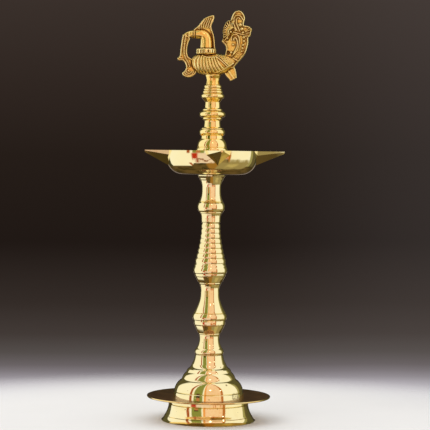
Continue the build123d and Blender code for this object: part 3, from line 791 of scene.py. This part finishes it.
def pedestal_map():
    table = np.array(PEDESTAL)
    r = np.interp(GZ, table[:, 0], table[:, 1])
    half = np.where(np.abs(GX) < r, np.sqrt(np.clip(r * r - GX**2, 0, None)), (r - np.abs(GX)) * 1.5)
    return np.where(GZ < 9.7, half, -5) + 2 * np.minimum(GZ, 0)


def neck_map():
    neck = tube(curve(NECK), [4.9, 4.9, 4.9, 4.7, 4.3, 3.9, 3.4])
    share = ease(0.8, 2.0, neck)
    neck = neck * (1 - share) + blur(neck, 0.7) * share
    end = ease(-14.6, -14.0, GX)
    neck = neck * end - 3 * (1 - end)
    inner_ring = tube(np.array([(-15.3, 39.5), (-15.25, 39.5)]), [3.55])
    outer_ring = tube(np.array([(-16.7, 39.4), (-16.65, 39.4)]), [3.3])
    rings = join(inner_ring, outer_ring)
    band = np.maximum(ease(0.75, 0.35, np.abs(GX + 15.25)), ease(0.7, 0.3, np.abs(GX + 16.7)))
    core = tube(np.array([(-13.5, 39.5), (-17.5, 39.5)]), [2.6])
    beak = tube(curve(BEAK), [3.0, 2.6, 1.75, 1.1, 0.5], 0.85)
    return join(neck, rings * band - 3 * (1 - band), core, beak, blend=0.15)


def collar_map():
    """A ring of oblong beads round the neck."""
    k = np.clip((GX + 5.6) / 8.0, -1, 1)
    collar = 6.9 * np.sqrt(1 - k**2) - 3 * np.maximum(np.abs(GX + 5.6) - 8.0, 0)
    up = (GZ - 26.1) / 2.0
    block = np.clip(1 - np.abs(up) ** 3.2, 0, 1) ** 0.7
    for gap in (-11.8, -9.8, -7.4, -3.9, -0.6, 1.0):
        block = block * ease(0.05, 0.42 if gap != -3.9 else 0.8, np.abs(GX - gap))
    return np.where(np.abs(up) < 1.1, collar - 0.9 + 0.95 * block, -3)


def crest_map():
    inside = depth(curve(CREST, closed=True))
    panel = ease(0.9, 1.3, inside)
    crest = slab(inside, 1.45, 0.7) - 0.55 * panel
    for stroke in CREST_STROKES:
        crest = crest + panel * ridge(curve(stroke), 0.42, 0.6)
    mane = ridge(curve([(-1.6, 45.2), (0.0, 38.5), (0.6, 32.0), (0.6, 26.0)]), 0.75, 0.5)
    return crest + mane * (inside > 0)


def garland_map():
    inside = depth(curve(GARLAND, closed=True))
    panel = ease(0.95, 1.3, inside)
    garland = slab(inside, 1.75, 0.8) - 0.6 * panel
    garland = garland + panel * beads_on(curve(GARLAND_BEADS), 1.35, 0.75, 0.75)
    garland = garland + ridge(curve([(-24.3, 20.6), (-26.0, 20.6), (-27.9, 20.3)]), 0.6, 0.6)
    for radius in (1.9, 3.3):
        turn = np.radians(np.arange(175, 375, 20))
        arc = np.stack([-19.0 + radius * 1.1 * np.cos(turn), 10.4 + radius * np.sin(turn)], 1)
        garland = garland + panel * ridge(arc, 0.4, 0.6)
    garland = garland + panel * bead(-19.2, 10.6, 0.9, 0.6)
    drop = bead(-18.9, 38.0, 1.1)
    return np.maximum(garland, np.where(drop > 0, drop + 1.6, -5))


def tail_map():
    inside = depth(curve(TAIL, closed=True))
    panel = ease(1.0, 1.4, inside)
    tail = slab(inside, 2.3, 0.9) - 0.8 * panel
    for points, half_width, height in TAIL_LINES:
        tail = tail + ease(0.1, 0.6, inside) * ridge(curve(points), half_width, height)
    fan = ease(-0.3, 0.3, depth(np.array(FAN)))
    tail = tail * (1 - fan) + (slab(inside, 2.3, 0.9) - 1.35 * ease(0.3, 0.9, inside)) * fan
    for angle in FAN_ANGLES:
        c, s = math.cos(math.radians(angle)), math.sin(math.radians(angle))
        ray_start = (FAN_HUB[0] + 2.0 * c, FAN_HUB[1] + 2.0 * s)
        ray_end = (FAN_HUB[0] + 9.5 * c, FAN_HUB[1] + 9.5 * s)
        ray = np.array([ray_start, ray_end])
        tail = tail + ease(0.05, 0.35, inside) * ridge(ray, 0.6, 1.4) * fan
    for x, z, radius in FAN_BEADS:
        lobe = bead(x, z, radius)
        tail = np.where(lobe > 0, np.maximum(tail, lobe + 1.1), tail)
    for x, z, radius in TAIL_BEADS:
        tail = tail + bead(x, z, radius, min(radius, 1.0)) * ease(0.0, 0.4, inside)
    row = np.floor(GZ / 1.1)
    dx, dz = ((GX + (row % 2) * 0.625) % 1.25) - 0.625, (GZ % 1.1) - 0.55
    dots = np.sqrt(np.clip(1 - (dx**2 + dz**2) / 0.42**2, 0, 1))
    tail = tail + 0.45 * dots * ease(-0.3, 0.2, depth(np.array(DOTTED)))
    hollow = np.hypot((GX - 11.7) / 1.5, (GZ - 25.2) / 1.8)
    tail = tail - 1.3 * ease(1.1, 0.6, hollow) * (inside > 0.3)
    return tail


def tab_map():
    inside = depth(curve(TAB, closed=True, per=4))
    panel = ease(0.8, 1.1, inside)
    rib = ridge(np.array([(11.5, 12.0), (16.3, 5.0)]), 0.7, 0.4)
    return slab(inside, 1.8, 0.6) - 0.4 * panel + panel * rib


def peacock_maps():
    """Half thickness of the bird, and how far each place is hand-polished."""
    trunk = join(body_map(), pedestal_map(), blend=0.6)
    neck = neck_map()
    whole = join(trunk, crest_map(), garland_map(), tail_map(), tab_map(), neck, blend=0.15)
    whole = join(whole, collar_map(), blend=0.1)
    edge_line = curve(EDGE_LINE)
    edge_height = np.interp(GX, edge_line[:, 0], edge_line[:, 1])
    below_edge = ease(0.2, 1.0, edge_height - 0.6 - GZ)
    belly = below_edge * ease(0.3, -0.3, np.abs(trunk - whole) - 0.3)
    throat = ease(-0.4, 0.0, neck - whole + 0.1)
    return whole, np.maximum(belly, throat)


def net_surface(field, start, step):
    """Closed quad mesh where the field changes sign, one point in each grid cell that the surface crosses."""
    inside = field < 0
    corners = [(a, b, c) for a in (0, 1) for b in (0, 1) for c in (0, 1)]
    cells = tuple(n - 1 for n in field.shape)

    def window(values, corner):
        return values[tuple(slice(o, o + n) for o, n in zip(corner, cells))]

    count = sum(window(inside, corner).astype(np.int8) for corner in corners)
    at = np.argwhere((count > 0) & (count < 8))
    number = np.full(cells, -1, np.int64)
    number[tuple(at.T)] = np.arange(len(at))
    value = [field[tuple((at + corner).T)] for corner in corners]
    total, crossings = np.zeros((len(at), 3)), np.zeros(len(at))
    for i, a in enumerate(corners):
        for j, b in enumerate(corners):
            if j <= i or sum(p != q for p, q in zip(a, b)) != 1:
                continue
            crosses = (value[i] < 0) != (value[j] < 0)
            share = np.where(crosses, value[i] / np.where(crosses, value[i] - value[j], 1.0), 0.0)
            spot = np.array(a) + share[:, None] * (np.array(b) - np.array(a))
            total += spot * crosses[:, None]
            crossings += crosses
    points = np.array(start) + (at + total / crossings[:, None]) * step
    quads = []
    for axis in range(3):
        u, v = (axis + 1) % 3, (axis + 2) % 3
        low = [slice(1, -1)] * 3
        high = list(low)
        low[axis], high[axis] = slice(0, -1), slice(1, None)
        a, b = inside[tuple(low)], inside[tuple(high)]
        edge = np.argwhere(a != b)
        grid = edge + [0 if i == axis else 1 for i in range(3)]
        first = a[tuple(edge.T)]
        ring = []
        for du, dv in ((0, 0), (1, 0), (1, 1), (0, 1)):
            cell = grid.copy()
            cell[:, u] -= du
            cell[:, v] -= dv
            ring.append(number[tuple(cell.T)])
        quad = np.stack(ring, 1)
        quad[~first] = quad[~first][:, ::-1]
        quads.append(quad)
    return points, np.vstack(quads)


def sample(values, x, z):
    """Values of a map between its grid points."""
    i, j = (x - XS[0]) / STEP, (z - ZS[0]) / STEP
    i0 = np.clip(i.astype(int), 0, len(XS) - 2)
    j0 = np.clip(j.astype(int), 0, len(ZS) - 2)
    fi, fj = i - i0, j - j0
    return (values[i0, j0] * (1 - fi) * (1 - fj) + values[i0 + 1, j0] * fi * (1 - fj)
            + values[i0, j0 + 1] * (1 - fi) * fj + values[i0 + 1, j0 + 1] * fi * fj)


GRID_FRONT = -9.5
GRID_BACK = 9.6


def make_peacock():
    """The cast bird: two equal relief halves back to back, bored for its stud, in place of the CAD node."""
    half, polish = peacock_maps()
    slope_x, slope_z = np.gradient(half, STEP)
    scale = np.sqrt(1 + slope_x**2 + slope_z**2)
    ys = np.arange(GRID_FRONT - STEP / 2, GRID_BACK + STEP, STEP)
    field = (np.abs(ys)[None, :, None] - half[:, None, :]) / scale[:, None, :]
    hole = STUD_RADIUS - np.hypot(GX[:, None, :], ys[None, :, None])
    hole = np.minimum(hole, STUD_DEPTH - GZ[:, None, :])
    field = np.maximum(field, hole)
    points, quads = net_surface(field, (XS[0], ys[0], ZS[0]), STEP)
    relief = sample((half - blur(half, 0.75)) / 0.3, points[:, 0], points[:, 2])
    shine = sample(polish, points[:, 0], points[:, 2])
    points = points * MM + [0, 0, peacock_seat]
    mesh = bpy.data.meshes.new("peacock_cast")
    mesh.vertices.add(len(points))
    mesh.vertices.foreach_set("co", points.astype(np.float32).ravel())
    mesh.loops.add(quads.size)
    mesh.loops.foreach_set("vertex_index", quads.astype(np.int32).ravel())
    mesh.polygons.add(len(quads))
    mesh.polygons.foreach_set("loop_start", np.arange(0, quads.size, 4, dtype=np.int32))
    mesh.update(calc_edges=True)
    mesh.validate()
    mesh.shade_smooth()
    for name, values in (("relief", relief), ("polish", shine)):
        attribute = mesh.attributes.new(name, "FLOAT", "POINT")
        attribute.data.foreach_set("value", values.astype(np.float32))
    made = bpy.data.objects.new("peacock_cast", mesh)
    scene.collection.objects.link(made)
    made.data.materials.append(cast_brass("antique_brass"))
    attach(made, "peacock")
    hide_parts("peacock")


# ------------------------------------------------------------------ the lamp


def dress(node, material):
    """Gives a CAD node one material."""
    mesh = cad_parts[node].data
    mesh.materials.clear()
    mesh.materials.append(material)


# the camera, fitted to the lamp's outline: metres, degrees below level, degrees of roll and millimetres
CAMERA_PLACE = (0.00313, -1.4203, 0.2082)
CAMERA_DIP = 1.853
CAMERA_ROLL = 0.804
CAMERA_LENS = 150.77
SENSOR_WIDTH = 36.0


def make_camera():
    """A long lens a little above the bowl. It is rolled, because the lamp stands upright in the model."""
    data = bpy.data.cameras.new("camera")
    data.lens = CAMERA_LENS
    data.sensor_width = SENSOR_WIDTH
    data.clip_start, data.clip_end = 0.05, 20.0
    camera = bpy.data.objects.new("camera", data)
    scene.collection.objects.link(camera)
    camera.matrix_world = (
        Matrix.Translation(CAMERA_PLACE)
        @ Matrix.Rotation(math.radians(90 - CAMERA_DIP), 4, "X")
        @ Matrix.Rotation(math.radians(CAMERA_ROLL), 4, "Z")
    )
    scene.camera = camera


make_camera()
make_world()
make_floor()
make_key_light()

bell_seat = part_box("base_bell")[0].z / MM
bell_pits = (
    (14.0, -20.1, bell_seat + 12.6, 1.0),
    (6.8, -21.6, bell_seat + 14.6, 0.8),
    (-28.6, -16.4, 13.6, 0.9),
)
bell_smudges = ((20.4, -19.0, bell_seat + 3.2, 3.6), (22.6, -16.6, bell_seat + 1.8, 3.2))
turned = polished_brass("polished_brass", bell_pits, bell_smudges)
golden = polished_brass("golden_brass", tarnish=0.04, gold=0.7)
steel = bright_steel("steel")
rubber = washer_rubber("rubber")
for node in ("base_foot", "base_bell", "lower_stem", "middle_stem", "upper_stem", "oil_bowl"):
    dress(node, turned)
dress("finial_column", golden)
dress("drip_plate", tarnished_brass("tarnished_brass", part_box("drip_plate")[1].x / MM))
steel_pieces = (
    "tie_rod",
    "clamp_washer",
    "clamp_nut",
    "lower_stud",
    "middle_stud",
    "upper_stud",
    "column_stud",
    "peacock_stud",
)
for node in steel_pieces:
    dress(node, steel)
for node in ("lower_bowl_seal", "upper_bowl_seal"):
    dress(node, rubber)
make_peacock()
